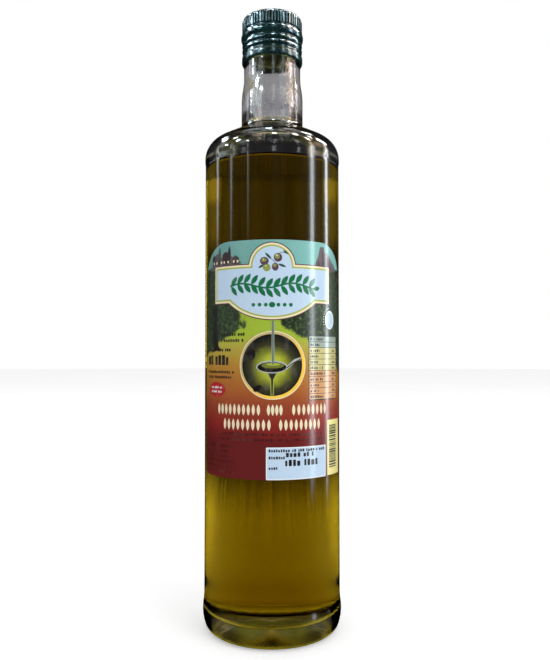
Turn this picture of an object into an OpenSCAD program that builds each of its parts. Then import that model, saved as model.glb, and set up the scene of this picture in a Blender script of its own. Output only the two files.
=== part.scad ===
// Round glass bottle filled with olive oil, with a rolled metal cap, its tamper band and a
// paper label that wraps a little under half of the body.
// Millimetres, +Z up. The origin is the centre of the ring that the bottle stands on.
// The front of the label faces -Y, turned a little towards +X.

/* [Body] */
// Diameter of the straight wall that carries the label
body_d = 69.9; // [66:0.1:74]
// Glass thickness of the body wall and the shoulder
wall_t = 2.7; // [2:0.1:4]
// Diameter over the contact ring at the top of the body
shoulder_ring_d = 70.4; // [70:0.1:74]
// Height at which the shoulder starts to turn inwards
shoulder_z = 241.5; // [228:0.5:243]
// Radius of the shoulder's outer curve
shoulder_curve = 11.5; // [8:0.5:16]
// Slope of the upper shoulder, measured from level
shoulder_slope = 27; // [15:1:35]

/* [Heel and base] */
// Diameter over the contact ring just above the heel
heel_ring_d = 71.2; // [70.6:0.1:74]
// Height of the heel's contact ring
heel_ring_z = 10.6; // [9:0.1:14]
// Radius of the heel ring's outward bulge
heel_bulge = 22; // [18:1:40]
// Height at which the bulge turns into the tighter heel corner
heel_turn_z = 3.4; // [3:0.1:6]
// Width of the flat ring that the bottle stands on
bearing_w = 1.6; // [1:0.1:3]
// Height of the dome under the base
push_up = 3.4; // [1:0.1:6]
// Glass thickness in the middle of the base
base_t = 8; // [3:0.1:10]
// Radius of the corner between the inner floor and the wall
floor_corner = 6.5; // [3:0.5:10]

/* [Neck and finish] */
// Diameter at the root of the neck
neck_root_d = 32.3; // [30:0.1:34]
// Diameter of the neck just below the cap
neck_top_d = 29.8; // [28.6:0.1:29.8]
// Height at which the neck starts to narrow
neck_taper_z = 273; // [266:0.5:276]
// Length of the taper between the two diameters
neck_taper = 13; // [8:1:16]
// Outward fillet where the neck leaves the shoulder
neck_fillet = 3; // [1:0.5:4]
// Diameter of the bore at the mouth
bore_top_d = 18.6; // [17:0.1:19]
// Diameter of the bore just below the cap
bore_mid_d = 21.4; // [19:0.1:22]
// Diameter of the bore at the root of the neck
bore_root_d = 23.6; // [21:0.1:25]
// Diameter of the finish inside the cap
finish_d = 28.6; // [27:0.1:29]
// Height of the glass lip
lip_z = 316.3; // [312:0.1:320]

/* [Oil] */
// Height of the oil's surface
oil_z = 236.5; // [180:0.5:238]

/* [Cap] */
// Diameter over the knurled top band
cap_d = 31.9; // [31.5:0.1:33]
// Diameter over the plain band below the knurl
cap_band_d = 32.9; // [32.4:0.1:34]
// Diameter over the two rolled beads
cap_bead_d = 31.8; // [31.4:0.1:32.6]
// Diameter at the bottom of the rolled grooves
cap_groove_d = 30.7; // [30.3:0.1:31.2]
// Thickness of the cap's top
cap_top_t = 1; // [0.6:0.1:2]
// Radius of the cap's top edge
cap_edge = 2.2; // [0.8:0.1:2.4]
// Number of grooves in the knurl
knurl_n = 62; // [30:2:80]
// Depth of one knurl groove
knurl_depth = 0.35; // [0.1:0.05:0.5]

/* [Tamper band] */
// Diameter over the tamper band
band_d = 32.1; // [31.6:0.1:33]
// Height of the tamper band's lower rim above the base
band_z = 293; // [292.4:0.1:294]
// Height of the tamper band
band_h = 3.7; // [3:0.1:4]
// Number of bridges that hold the band to the cap until it is opened
bridge_n = 8; // [4:1:16]
// Width of one bridge
bridge_w = 0.9; // [0.5:0.1:1.5]

/* [Label] */
// Height of the label's lower edge
label_z = 80.4; // [60:0.1:90]
// Height of the label
label_h = 114.2; // [80:0.1:120]
// Angle of the body that the label covers
label_sweep = 144; // [100:1:170]
// Turn of the label's middle away from the front
label_turn = 2; // [-10:1:10]
// Radius of the label's upper corners
label_top_corner = 20; // [2:1:24]
// Radius of the label's lower corners
label_low_corner = 3; // [1:0.5:8]
// Thickness of the paper and its glue
label_t = 0.15; // [0.1:0.05:0.3]

/* [Hidden] */
$fn = 128;

body_r = body_d / 2;
inner_r = body_r - wall_t;
shoulder_r = shoulder_ring_d / 2;
heel_r = heel_ring_d / 2;
neck_root_r = neck_root_d / 2;
neck_top_r = neck_top_d / 2;

// the shoulder's curve runs from upright to the slope of the cone above it
shoulder_turn = 90 - shoulder_slope;
shoulder_c = [shoulder_r - shoulder_curve, shoulder_z];
curve_end_r = shoulder_c[0] + shoulder_curve * cos(shoulder_turn);
curve_end_z = shoulder_z + shoulder_curve * sin(shoulder_turn);
neck_root_z = curve_end_z + (curve_end_r - neck_root_r) * tan(shoulder_slope);

// the fillet touches the cone and the upright neck
fillet_c = [
    neck_root_r + neck_fillet,
    neck_root_z + neck_fillet * tan(shoulder_turn / 2)
];
finish_z = band_z + band_h;
finish_step = 1;
lip_edge = 1.2;

// the heel ring bulges outwards, then turns under in a tighter corner
bulge_c = [heel_r - heel_bulge, heel_ring_z];
turn_angle = asin((heel_ring_z - heel_turn_z) / heel_bulge);
corner_r = heel_turn_z / (1 - sin(turn_angle));
corner_c = [bulge_c[0] + (heel_bulge - corner_r) * cos(turn_angle), corner_r];
bearing_r = corner_c[0] - bearing_w;

// run of the soft steps between the straight wall and its contact rings
heel_blend = 8;
shoulder_blend = 3;
shoulder_blend_z = shoulder_z - 4;

// share of the push-up that the inner floor repeats as its own dome
floor_dome = 0.7;

// length by which a cut runs past the face that it opens
past = 1;

// the inside follows the shoulder at the wall's thickness and narrows through the neck
inner_curve = shoulder_curve - wall_t;
throat_r = bore_root_d / 2;
throat_curve = 9;
mouth_step = 6;
inner_end = shoulder_c + inner_curve * [cos(shoulder_turn), sin(shoulder_turn)];
throat_root_z = inner_end[1] + (inner_end[0] - throat_r) * tan(shoulder_slope);
throat_c = [
    throat_r + throat_curve,
    throat_root_z + throat_curve * tan(shoulder_turn / 2)
];

// cap levels, from the top down
cap_top_z = lip_z + cap_top_t;
knurl_z = cap_top_z - 7.4;
plain_z = cap_top_z - 13;
bead_h = 2.9;
slit_h = 0.7;
skirt_z = finish_z + slit_h;
skirt_r = 14.75;
knurl_cutter_r = 0.62;
knurl_steps = 24;
knurl_root = 0.5;
groove_flat = 0.4;

// the tamper band's rims, and its bridges, which reach a little way into the band
curl_r = 1.1;
curl_from = -80;
rim_r = 0.4;
band_gap = 0.1;
bridge_r = 15;
bridge_root = 0.2;

label_r = body_r + label_t;
label_w = label_r * label_sweep * PI / 180;

// points along an arc in the (radius, height) plane
function arc(c, r, from, to, steps = 12) = [
    for (i = [0 : steps])
        let (a = from + (to - from) * i / steps)
        c + r * [cos(a), sin(a)]
];

// points of a soft step from radius r0 at height z0 to radius r1 at height z1
function soft_step(r0, z0, r1, z1, steps = 10) = [
    for (i = [0 : steps])
        let (t = i / steps)
        [r0 + (r1 - r0) * (1 - cos(180 * t)) / 2, z0 + (z1 - z0) * t]
];

// points of a shallow dome of height h over radius r, from the middle outwards
function dome(r, h, lift, steps = 10) =
    let (dome_r = (r * r + h * h) / (2 * h), edge = asin(r / dome_r))
    [
        for (i = [0 : steps])
            let (a = edge * i / steps)
            [dome_r * sin(a), lift + h - dome_r * (1 - cos(a))]
    ];

// outer outline of the glass, from the middle of the base to the lip
function glass_outline() = concat(
    dome(bearing_r, push_up, 0),
    arc(corner_c, corner_r, -90, -turn_angle),
    arc(bulge_c, heel_bulge, -turn_angle, 0, 6),
    soft_step(heel_r, heel_ring_z, body_r, heel_ring_z + heel_blend),
    soft_step(body_r, shoulder_blend_z, shoulder_r, shoulder_blend_z + shoulder_blend, 6),
    arc(shoulder_c, shoulder_curve, 0, shoulder_turn, 20),
    arc(fillet_c, neck_fillet, 180 + shoulder_turn, 180, 8),
    soft_step(neck_root_r, neck_taper_z, neck_top_r, neck_taper_z + neck_taper, 14),
    [[neck_top_r, finish_z], [finish_d / 2, finish_z + finish_step]],
    arc([finish_d / 2 - lip_edge, lip_z - lip_edge], lip_edge, 0, 90, 6),
    [[0, lip_z]]
);

// outline of the inside, from the middle of the floor up through the mouth
function cavity_outline() =
    let (floor_r = inner_r - floor_corner, floor_z = base_t + push_up * (1 - floor_dome))
    concat(
        dome(floor_r, push_up * floor_dome, floor_z),
        arc([floor_r, floor_z + floor_corner], floor_corner, -90, 0),
        arc(shoulder_c + [inner_r - shoulder_c[0] - inner_curve, 0], inner_curve, 0, shoulder_turn, 20),
        arc(throat_c, throat_curve, 180 + shoulder_turn, 180, 10),
        soft_step(throat_r, neck_taper_z, bore_mid_d / 2, neck_taper_z + neck_taper, 14),
        soft_step(bore_mid_d / 2, finish_z, bore_top_d / 2, finish_z + mouth_step),
        [[bore_top_d / 2, lip_z + past], [0, lip_z + past]]
    );

// outer outline of the cap, from its top down to the slit above the tamper band
function cap_outline() =
    let (r = cap_d / 2, groove = cap_groove_d / 2, bead = cap_bead_d / 2, band = cap_band_d / 2)
    concat(
        [[0, cap_top_z]],
        arc([r - cap_edge, cap_top_z - cap_edge], cap_edge, 90, 0, 8),
        [[r, knurl_z + knurl_root], [groove, knurl_z], [groove, knurl_z - groove_flat]],
        rib(groove, band, knurl_z - groove_flat, plain_z + groove_flat, 0.5),
        [[groove, plain_z + groove_flat], [groove, plain_z]],
        rib(groove, bead, plain_z, plain_z - bead_h, 1),
        rib(groove, bead, plain_z - bead_h, plain_z - 2 * bead_h, 1),
        [[groove, skirt_z], [0, skirt_z]]
    );

// a rounded rib from height z1 down to z0; a lower power makes its back flatter
function rib(r_low, r_high, z1, z0, power, steps = 10) = [
    for (i = [1 : steps - 1])
        let (t = i / steps)
        [r_low + (r_high - r_low) * pow(sin(180 * t), power), z1 + (z0 - z1) * t]
];

module glass() {
    color([0.80, 0.86, 0.82, 0.35])
        rotate_extrude()
            difference() {
                polygon(glass_outline());
                polygon(cavity_outline());
            }
}

module oil() {
    color([0.52, 0.43, 0.04])
        rotate_extrude()
            intersection() {
                polygon(cavity_outline());
                square([body_r, oil_z]);
            }
}

module cap() {
    color([0.07, 0.15, 0.14])
        difference() {
            rotate_extrude() polygon(cap_outline());
            translate([0, 0, skirt_z - past])
                cylinder(r = skirt_r, h = lip_z - skirt_z + past);
            knurl_grooves();
        }
}

// upright grooves that run out over the cap's rounded top edge
module knurl_grooves() {
    groove_axis = cap_d / 2 + knurl_cutter_r - knurl_depth;
    for (i = [0 : knurl_n - 1])
        rotate([0, 0, i * 360 / knurl_n])
            translate([groove_axis, 0, knurl_z + knurl_root])
                cylinder(r = knurl_cutter_r, h = cap_top_z - knurl_z, $fn = knurl_steps);
}

// plain ring with its lower rim curled in under the bead of the neck
module tamper_band() {
    r = band_d / 2;
    hole_r = neck_top_r + band_gap;
    color([0.07, 0.15, 0.14]) {
        rotate_extrude()
            polygon(concat(
                [[hole_r, band_z]],
                arc([r - curl_r, band_z + curl_r], curl_r, curl_from, 0, 6),
                arc([r - rim_r, finish_z - rim_r], rim_r, 0, 90, 4),
                [[hole_r, finish_z]]
            ));
        for (i = [0 : bridge_n - 1])
            rotate([0, 0, (i + 0.5) * 360 / bridge_n])
                bridge();
    }
}

// one short bridge across the slit between the tamper band and the cap
module bridge() {
    translate([bridge_r, -bridge_w / 2, finish_z - bridge_root])
        cube([cap_groove_d / 2 - bridge_r, bridge_w, slit_h + bridge_root]);
}

// flat outline of the label, wrapped onto the body: the distance along the paper becomes x
function wrapped(p) = [label_r * sin(p[0] / label_r * 180 / PI), p[1]];

function label_outline() =
    let (
        half = label_w / 2,
        top = label_z + label_h,
        big = label_top_corner,
        small = label_low_corner
    )
    [
        for (p = concat(
            arc([half - small, label_z + small], small, -90, 0, 6),
            arc([half - big, top - big], big, 0, 90, 16),
            arc([big - half, top - big], big, 90, 180, 16),
            arc([small - half, label_z + small], small, 180, 270, 6)
        )) wrapped(p)
    ];

module label() {
    color([0.49, 0.10, 0.08])
        rotate([0, 0, label_turn])
            intersection() {
                rotate([90, 0, 0])
                    linear_extrude(height = label_r + past)
                        polygon(label_outline());
                difference() {
                    translate([0, 0, label_z - past])
                        cylinder(r = label_r, h = label_h + 2 * past);
                    translate([0, 0, label_z - 2 * past])
                        cylinder(r = body_r, h = label_h + 4 * past);
                }
            }
}

glass();
oil();
cap();
tamper_band();
label();
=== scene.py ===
import math
import random

import bmesh
import bpy
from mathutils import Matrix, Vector


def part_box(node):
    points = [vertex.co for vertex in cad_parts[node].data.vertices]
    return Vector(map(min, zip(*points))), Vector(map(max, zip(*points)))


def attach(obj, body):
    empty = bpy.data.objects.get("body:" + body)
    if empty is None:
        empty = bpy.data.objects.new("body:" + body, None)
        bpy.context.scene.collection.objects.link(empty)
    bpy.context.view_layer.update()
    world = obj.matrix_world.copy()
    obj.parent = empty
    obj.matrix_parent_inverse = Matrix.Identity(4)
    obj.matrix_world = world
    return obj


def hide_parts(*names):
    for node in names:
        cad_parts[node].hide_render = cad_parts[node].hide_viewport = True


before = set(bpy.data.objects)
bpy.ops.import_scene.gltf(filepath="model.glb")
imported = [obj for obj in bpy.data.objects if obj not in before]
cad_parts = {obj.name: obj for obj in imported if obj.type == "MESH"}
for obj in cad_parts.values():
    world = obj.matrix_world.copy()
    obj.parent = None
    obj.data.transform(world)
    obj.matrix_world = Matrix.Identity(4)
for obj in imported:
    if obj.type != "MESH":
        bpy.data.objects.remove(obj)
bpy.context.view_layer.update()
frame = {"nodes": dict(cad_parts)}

mm = 0.001
print("frame loaded:", ", ".join(frame["nodes"]))


def sizes(node):  # a node's box in millimetres
    low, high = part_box(node)
    return low / mm, high / mm


glassHigh = sizes("glass")[1]
oilHigh = sizes("oil")[1]
capLow, capHigh = sizes("cap")
bandLow, bandHigh = sizes("tamper_band")
labelLow, labelHigh = sizes("label")
bandTop = bandLow.z + 3.7        # the bridges stand on the band here, and the glass narrows


def tone(red, green, blue):  # a colour as a paint chart gives it, 0 to 255
    parts = []
    for part in (red, green, blue):
        value = part / 255
        parts.append(value / 12.92 if value <= 0.04045 else ((value + 0.055) / 1.055) ** 2.4)
    return (*parts, 1.0)


class Wire:  # one output socket; arithmetic on it adds Math nodes
    def __init__(self, look, socket):
        self.look = look
        self.socket = socket

    def output(self, which):  # another output of the same node
        return Wire(self.look, self.socket.node.outputs[which])

    def __add__(self, other):
        return self.look.maths("ADD", self, other)

    def __radd__(self, other):
        return self.look.maths("ADD", other, self)

    def __sub__(self, other):
        return self.look.maths("SUBTRACT", self, other)

    def __rsub__(self, other):
        return self.look.maths("SUBTRACT", other, self)

    def __mul__(self, other):
        return self.look.maths("MULTIPLY", self, other)

    def __rmul__(self, other):
        return self.look.maths("MULTIPLY", other, self)

    def __truediv__(self, other):
        return self.look.maths("DIVIDE", self, other)

    def __rtruediv__(self, other):
        return self.look.maths("DIVIDE", other, self)

    def __pow__(self, other):
        return self.look.maths("POWER", self, other)


class Look:  # the node tree of a material or of the world
    def __init__(self, owner):
        owner.use_nodes = True
        self.tree = owner.node_tree
        self.tree.nodes.clear()

    def add(self, kind, settings, values, out=0):
        node = self.tree.nodes.new(kind)
        for name, value in settings.items():
            if name == "stops":
                self.setStops(node.color_ramp, value)
            else:
                setattr(node, name, value)
        for name, value in values.items():
            if isinstance(value, Wire):
                self.tree.links.new(value.socket, node.inputs[name])
            else:
                node.inputs[name].default_value = value
        return Wire(self, node.outputs[out]) if node.outputs else None

    def maths(self, operation, *values):
        return self.add("ShaderNodeMath", {"operation": operation}, dict(enumerate(values)))

    def setStops(self, ramp, stops):
        ramp.elements.remove(ramp.elements[1])
        ramp.elements[0].position = stops[0][0]
        ramp.elements[0].color = (*stops[0][1][:3], 1)
        for place, colour in stops[1:]:
            ramp.elements.new(place).color = (*colour[:3], 1)

    def blend(self, factor, first, second):
        return self.add("ShaderNodeMix", {"data_type": "RGBA"}, {0: factor, 6: first, 7: second}, 2)

    def tint(self, first, second):
        settings = {"data_type": "RGBA", "blend_type": "MULTIPLY"}
        return self.add("ShaderNodeMix", settings, {0: 1.0, 6: first, 7: second}, 2)

    def scaled(self, colour, value):
        if not isinstance(colour, Wire):
            colour = colour[:3]
        return self.add("ShaderNodeVectorMath", {"operation": "SCALE"}, {0: colour, 3: value})

    def sumOf(self, first, second):
        return self.add("ShaderNodeVectorMath", {"operation": "ADD"}, {0: first, 1: second})

    def ramp(self, value, stops):
        return self.add("ShaderNodeValToRGB", {"stops": stops}, {0: value})

    def share(self, value, low, high, kind="LINEAR"):  # 0 below low, 1 above high
        return self.add("ShaderNodeMapRange", {"interpolation_type": kind}, {0: value, 1: low, 2: high})

    def ease(self, value, low, high):
        return self.share(value, low, high, "SMOOTHSTEP")

    def between(self, value, low, high, soft):
        return self.ease(value, low - soft, low + soft) * (1 - self.ease(value, high - soft, high + soft))

    def least(self, first, second):
        return self.maths("MINIMUM", first, second)

    def most(self, first, second):
        return self.maths("MAXIMUM", first, second)

    def size(self, value):
        return self.maths("ABSOLUTE", value)

    def sine(self, value):
        return self.maths("SINE", value)

    def bell(self, value, centre, width):  # 1 at the centre, falling away on both sides
        offset = (value - centre) * (1 / width)
        return 1 / (1 + offset * offset * offset * offset)

    def grain(self, place, scale, detail=4.0, rough=0.5, stretch=(1, 1, 1)):
        spot = self.add("ShaderNodeMapping", {}, {"Vector": place, "Scale": stretch})
        values = {"Vector": spot, "Scale": scale, "Detail": detail, "Roughness": rough}
        return self.add("ShaderNodeTexNoise", {"noise_dimensions": "3D"}, values)

    def streaks(self, value, detail, rough):  # noise along one value
        values = {"W": value, "Scale": 1.0, "Detail": detail, "Roughness": rough}
        return self.add("ShaderNodeTexNoise", {"noise_dimensions": "1D"}, values)

    def objectPlace(self):
        return self.add("ShaderNodeTexCoord", {}, {}, 3)

    def split(self, place):
        first = self.add("ShaderNodeSeparateXYZ", {}, {0: place})
        return first, first.output(1), first.output(2)

    def turn(self, x, y):  # angle of a direction in the floor's plane
        return self.maths("ARCTAN2", x, y)

    def bump(self, height, strength, distance):
        values = {"Height": height, "Strength": strength, "Distance": distance}
        return self.add("ShaderNodeBump", {}, values)


def material(name, build, volume=None, **plain):  # build gives what varies over the surface
    made = bpy.data.materials.new(name)
    look = Look(made)
    shader = {key.replace("_", " "): value for key, value in plain.items()}
    varied = build(look) if build else {}
    surface = look.add("ShaderNodeBsdfPrincipled", {}, {**shader, **varied})
    ends = {"Surface": surface}
    if volume:
        ends["Volume"] = look.add("ShaderNodeVolumeAbsorption", {}, volume)
    look.add("ShaderNodeOutputMaterial", {}, ends)
    return made


def addMesh(name, mesh, finish):
    mesh.materials.append(finish)
    made = bpy.data.objects.new(name, mesh)
    bpy.context.scene.collection.objects.link(made)
    return made


def newMesh(name, points, faces):
    mesh = bpy.data.meshes.new(name)
    mesh.from_pydata([(x * mm, y * mm, z * mm) for x, y, z in points], [], faces)
    return mesh


def meshPiece(name, points, faces, finish, replaced, sharp):
    mesh = newMesh(name, points, faces)
    work = bmesh.new()
    work.from_mesh(mesh)
    bmesh.ops.recalc_face_normals(work, faces=work.faces)
    for face in work.faces:
        face.smooth = True
    work.to_mesh(mesh)
    work.free()
    mesh.set_sharp_from_angle(angle=math.radians(sharp))
    piece = addMesh(name, mesh, finish)
    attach(piece, "root")
    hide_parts(replaced)
    return piece


def arc(middle, radius, start, end, steps=12):
    points = []
    for i in range(steps + 1):
        angle = math.radians(start + (end - start) * i / steps)
        points.append((middle[0] + radius * math.cos(angle), middle[1] + radius * math.sin(angle)))
    return points


def softStep(r0, z0, r1, z1, steps=10):  # an s-shaped change of radius
    points = []
    for i in range(steps + 1):
        share = i / steps
        points.append((r0 + (r1 - r0) * (1 - math.cos(math.pi * share)) / 2, z0 + (z1 - z0) * share))
    return points


def dome(radius, height, lift, steps=10):
    ball = (radius * radius + height * height) / (2 * height)
    edge = math.asin(radius / ball)
    points = []
    for i in range(steps + 1):
        angle = edge * i / steps
        points.append((ball * math.sin(angle), lift + height - ball * (1 - math.cos(angle))))
    return points


def rib(low, high, top, bottom, power, steps=10):  # a ring that bulges from low to high
    points = []
    for i in range(1, steps):
        share = i / steps
        bulge = math.sin(math.pi * share) ** power
        points.append((low + (high - low) * bulge, top + (bottom - top) * share))
    return points


def refine(outline, longest):  # splits long straight runs
    points = [outline[0]]
    for (r0, z0), (r1, z1) in zip(outline, outline[1:]):
        parts = max(1, math.ceil(math.hypot(r1 - r0, z1 - z0) / longest))
        for i in range(1, parts + 1):
            points.append((r0 + (r1 - r0) * i / parts, z0 + (z1 - z0) * i / parts))
    return points


def lathe(outline, sides, shift=None, closed=False):  # turns an outline of (r, z) about the axis
    points, rings, faces = [], [], []
    for r, z in outline:
        if r < 0.001:
            rings.append([len(points)] * sides)
            points.append((0, 0, z))
            continue
        rings.append(list(range(len(points), len(points) + sides)))
        for i in range(sides):
            angle = 2 * math.pi * i / sides
            out = r + shift(angle, r, z) if shift else r
            points.append((out * math.cos(angle), out * math.sin(angle), z))
    pairs = list(zip(rings, rings[1:]))
    if closed:
        pairs.append((rings[-1], rings[0]))
    for low, high in pairs:
        for i in range(sides):
            j = (i + 1) % sides
            corners = []
            for corner in (low[i], low[j], high[j], high[i]):
                if corner not in corners:
                    corners.append(corner)
            if len(corners) > 2:
                faces.append(corners)
    return points, faces


cameraSetup = {
    "distance": 367.5,      # from the bottle's axis, mm
    "height": 139.5,        # above the floor, mm
    "pitch": 2.04,          # degrees above level
    "yaw": 0.237,           # degrees to the right
    "lens": 38.2,
}
camera = bpy.data.objects.new("camera", bpy.data.cameras.new("camera"))
bpy.context.scene.collection.objects.link(camera)
camera.location = (0, -cameraSetup["distance"] * mm, cameraSetup["height"] * mm)
camera.rotation_euler = (math.radians(90 + cameraSetup["pitch"]), 0, -math.radians(cameraSetup["yaw"]))
camera.data.lens = cameraSetup["lens"]
camera.data.sensor_width = 36
camera.data.clip_start = 0.01
bpy.context.scene.camera = camera
print("camera set")


glassShape = {
    "wall": 2.7,
    "body": -labelLow.y - 0.15,       # radius of the straight wall, under the label's paper
    "heel": glassHigh.x,
    "heelZ": 10.6,
    "heelBulge": 22,
    "heelTurnZ": 3.4,
    "heelBlend": 8,
    "bearing": 1.6,
    "pushUp": 3.4,
    "floorDome": 0.7,                 # share of the push-up that the inner floor keeps
    "base": 8,
    "floorCorner": 6.5,
    "shoulder": 35.2,
    "shoulderZ": 241.5,
    "shoulderCurve": 11.5,
    "shoulderTurn": 63,
    "shoulderStep": (4, 1),           # the wall swells between these depths below the shoulder
    "neckRoot": 16.15,
    "neckTop": 14.9,
    "taperZ": 273,
    "taper": 13,
    "fillet": 3,
    "boreTop": 9.3,
    "boreMid": 10.7,
    "boreRoot": 11.8,
    "throatCurve": 9,
    "mouthStep": 6,
    "finish": 14.3,
    "finishZ": bandTop,
    "finishStep": 1,
    "lipZ": glassHigh.z,
    "lipEdge": 1.2,
    "sides": 256,
    "longest": 7,                     # longest straight run of the outline
    "wave": 0.07,                     # unevenness of the inner wall
}


def conePoint(g, curve, radius):  # height at which the shoulder's cone reaches this radius
    turn = math.radians(g["shoulderTurn"])
    endR = g["shoulder"] - g["shoulderCurve"] + curve * math.cos(turn)
    endZ = g["shoulderZ"] + curve * math.sin(turn)
    return endZ + (endR - radius) / math.tan(turn)


def filletMiddle(g, curve, radius, bend):  # centre of the bend from the cone into the neck
    lift = bend * math.tan(math.radians(g["shoulderTurn"] / 2))
    return (radius + bend, conePoint(g, curve, radius) + lift)


def outerOutline(g):
    stepLow, stepHigh = g["shoulderStep"]
    turn = math.degrees(math.asin((g["heelZ"] - g["heelTurnZ"]) / g["heelBulge"]))
    sine = math.sin(math.radians(turn))
    bulgeR = g["heel"] - g["heelBulge"]
    corner = g["heelTurnZ"] / (1 - sine)
    cornerR = bulgeR + (g["heelBulge"] - corner) * math.cos(math.radians(turn))
    fillet = filletMiddle(g, g["shoulderCurve"], g["neckRoot"], g["fillet"])
    shoulderMiddle = (g["shoulder"] - g["shoulderCurve"], g["shoulderZ"])
    outline = dome(cornerR - g["bearing"], g["pushUp"], 0, 14)
    outline += arc((cornerR, corner), corner, -90, -turn, 14)
    outline += arc((bulgeR, g["heelZ"]), g["heelBulge"], -turn, 0, 8)[1:]
    outline += softStep(g["heel"], g["heelZ"], g["body"], g["heelZ"] + g["heelBlend"], 12)[1:]
    outline += softStep(g["body"], g["shoulderZ"] - stepLow, g["shoulder"], g["shoulderZ"] - stepHigh, 8)
    outline += arc(shoulderMiddle, g["shoulderCurve"], 0, g["shoulderTurn"], 26)
    outline += arc(fillet, g["fillet"], 180 + g["shoulderTurn"], 180, 10)
    outline += softStep(g["neckRoot"], g["taperZ"], g["neckTop"], g["taperZ"] + g["taper"], 14)
    outline += [(g["neckTop"], g["finishZ"]), (g["finish"], g["finishZ"] + g["finishStep"])]
    outline += arc((g["finish"] - g["lipEdge"], g["lipZ"] - g["lipEdge"]), g["lipEdge"], 0, 90, 6)
    return outline


def innerOutline(g, grow=0):
    inner = g["body"] - g["wall"]
    curve = g["shoulderCurve"] - g["wall"]
    floorR = inner - g["floorCorner"]
    floorDome = g["pushUp"] * g["floorDome"]
    floorZ = g["base"] + g["pushUp"] - floorDome
    boreRoot, boreMid, boreTop = (g[key] + grow for key in ("boreRoot", "boreMid", "boreTop"))
    throat = filletMiddle(g, curve, g["boreRoot"], g["throatCurve"])
    outline = dome(floorR, floorDome, floorZ - grow, 12)
    outline += arc((floorR, floorZ + g["floorCorner"]), g["floorCorner"] + grow, -90, 0, 12)
    outline += [(inner + grow, oilHigh.z), (inner + grow, oilHigh.z + 0.8)]
    outline += arc((inner - curve, g["shoulderZ"]), curve + grow, 0, g["shoulderTurn"], 22)
    outline += arc(throat, g["throatCurve"] - grow, 180 + g["shoulderTurn"], 180, 14)
    outline += softStep(boreRoot, g["taperZ"], boreMid, g["taperZ"] + g["taper"], 14)
    outline += softStep(boreMid, g["finishZ"], boreTop, g["finishZ"] + g["mouthStep"])
    outline += [(boreTop, g["lipZ"])]
    return outline


def innerShift(angle, r, z):  # slow swells in the wall's thickness, as blown glass has
    fade = min(1, max(0, (r - 12) / 15)) * min(1, max(0, (z - 8) / 20))
    swell = math.sin(3 * angle + 1.1 + z * 0.006) + 0.7 * math.sin(7 * angle + 2.3 - z * 0.004)
    swell += 0.45 * math.sin(13 * angle + 0.7 + z * 0.009) + 0.25 * math.sin(23 * angle + z * 0.013)
    return glassShape["wave"] * swell * fade


glassFinish = {
    "wall": (0.96, 0.985, 0.965, 1),
    "foot": (0.78, 0.68, 0.12, 1),    # painted light: the oil above, seen through the solid foot, is tinted into the glass as colour
    "footTop": 0.0098,                # heights here are in metres
    "footFade": 0.004,
    "stipples": 96,
    "stippleTop": 0.0032,
    "hammered": (0.252, 0.262),       # the uneven skin comes in between these heights
    "drawn": (0.03, 0.09),            # fine upright lines between these
    "depth": 0.0006,
}


def glassLook(look):
    f = glassFinish
    place = look.objectPlace()
    x, y, z = look.split(place)
    swell = look.grain(place, 26, 2, 0.4, (1, 1, 0.09))
    ripple = look.grain(place, 120, 2, 0.5, (1, 1, 0.16))
    seam = look.bell(y, 0, 0.00035)
    stipple = look.sine(look.turn(x, y) * f["stipples"]) * look.between(z, -0.001, f["stippleTop"], 0.0006)
    hammered = look.grain(place, 420, 3, 0.6, (1, 1, 0.45)) * look.ease(z, *f["hammered"])
    drawn = look.grain(place, 330, 3, 0.6, (1, 1, 0.02)) * look.between(z, *f["drawn"], 0.02)
    height = swell * 0.55 + ripple * 0.12 + seam * 0.1 + stipple * 0.5 + hammered * 1.1 + drawn * 0.5
    # painted light: below footTop the clear glass takes the oil's yellow, in place of the light the oil
    # sends into the foot
    foot = look.ease(z, f["footTop"], f["footTop"] - f["footFade"])
    tint = look.blend(foot, f["wall"], f["foot"])
    return {"Base Color": tint, "Normal": look.bump(height, 0.22, f["depth"])}


def wettedLook(look):  # oil clings to this wall, so it gives no glint of its own
    swell = look.grain(look.objectPlace(), 22, 2, 0.4, (1, 1, 0.07))
    return {"Normal": look.bump(swell, 0.12, glassFinish["depth"])}


def makeGlass(g):
    outside = outerOutline(g)
    sections = refine(outside + innerOutline(g)[::-1], g["longest"])
    inside = set(sections[len(refine(outside, g["longest"])):])

    def shift(angle, r, z):
        return innerShift(angle, r, z) if (r, z) in inside else 0

    clear = {"Roughness": 0.0, "IOR": 1.52, "Transmission_Weight": 1.0}
    dry = material("clearGlass", glassLook, **clear)
    wet = material("wettedGlass", wettedLook, **clear, Base_Color=glassFinish["wall"],
                   Specular_Tint=(0, 0, 0, 1))
    points, faces = lathe(sections, g["sides"], shift)
    piece = meshPiece("bottle_glass", points, faces, dry, "glass", 50)
    piece.data.materials.append(wet)
    for face in piece.data.polygons:
        x, y, z = face.center / mm
        if math.hypot(x, y) < g["body"] - 1 and g["base"] < z < oilHigh.z:
            face.material_index = 1


oilShape = {
    "level": oilHigh.z,
    "intoWall": 0.15,
    "creep": 0.8,          # how far the surface climbs at the wall
    "creepRun": 1.3,
    "creepSteps": 18,
    "body": {"Color": (0.72, 0.625, 0.02, 1), "Density": 100.0},
}


def makeOil(g, o):
    wall = [p for p in innerOutline(g, o["intoWall"]) if p[1] < o["level"]]
    edge = wall[-1][0]
    top = []
    for i in range(o["creepSteps"]):
        r = edge * (1 - (i / o["creepSteps"]) ** 2)
        top.append((r, o["level"] + o["creep"] * math.exp(-(edge - r) / o["creepRun"])))
    finish = material("oliveOil", None, o["body"], Base_Color=(1, 1, 1, 1), Roughness=0.0, IOR=1.51,
                      Transmission_Weight=1.0, Specular_Tint=(0, 0, 0, 1))
    points, faces = lathe(refine(wall + top, g["longest"]) + [(0, o["level"])], g["sides"], innerShift)
    meshPiece("olive_oil_fill", points, faces, finish, "oil", 50)


makeGlass(glassShape)
makeOil(glassShape, oilShape)
print("glass and oil made")


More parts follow.
